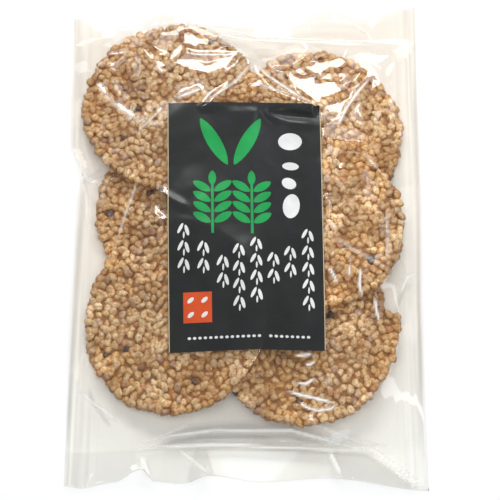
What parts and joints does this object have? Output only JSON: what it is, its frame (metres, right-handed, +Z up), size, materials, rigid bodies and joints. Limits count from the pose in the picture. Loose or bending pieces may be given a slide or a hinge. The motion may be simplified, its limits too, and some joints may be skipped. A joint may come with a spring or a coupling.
{
  "type": "pack of japanese rice crackers",
  "caption": "Clear heat-sealed flat bag holding overlapping round puffed-rice crackers, lying on its back, with a dark printed panel on the film.",
  "frame": {"origin": "on the table, under the middle of the bag", "axes": "+X across the bag to the right of its printed side, +Y from its bottom seal to its top seal, +Z up out of its printed side"},
  "size_m": [0.192, 0.272, 0.0331],
  "materials": {
    "film": "thin clear glossy film, slightly warm and hazy where it lies double",
    "cracker": "baked puffed-rice grains under a thin soy glaze, from beige to golden brown",
    "print": "opaque black ink under the glossy film, with plain fields of green, white and orange-red"
  },
  "bodies": {
    "root": {"bag": "film"}
  },
  "joints": []
}
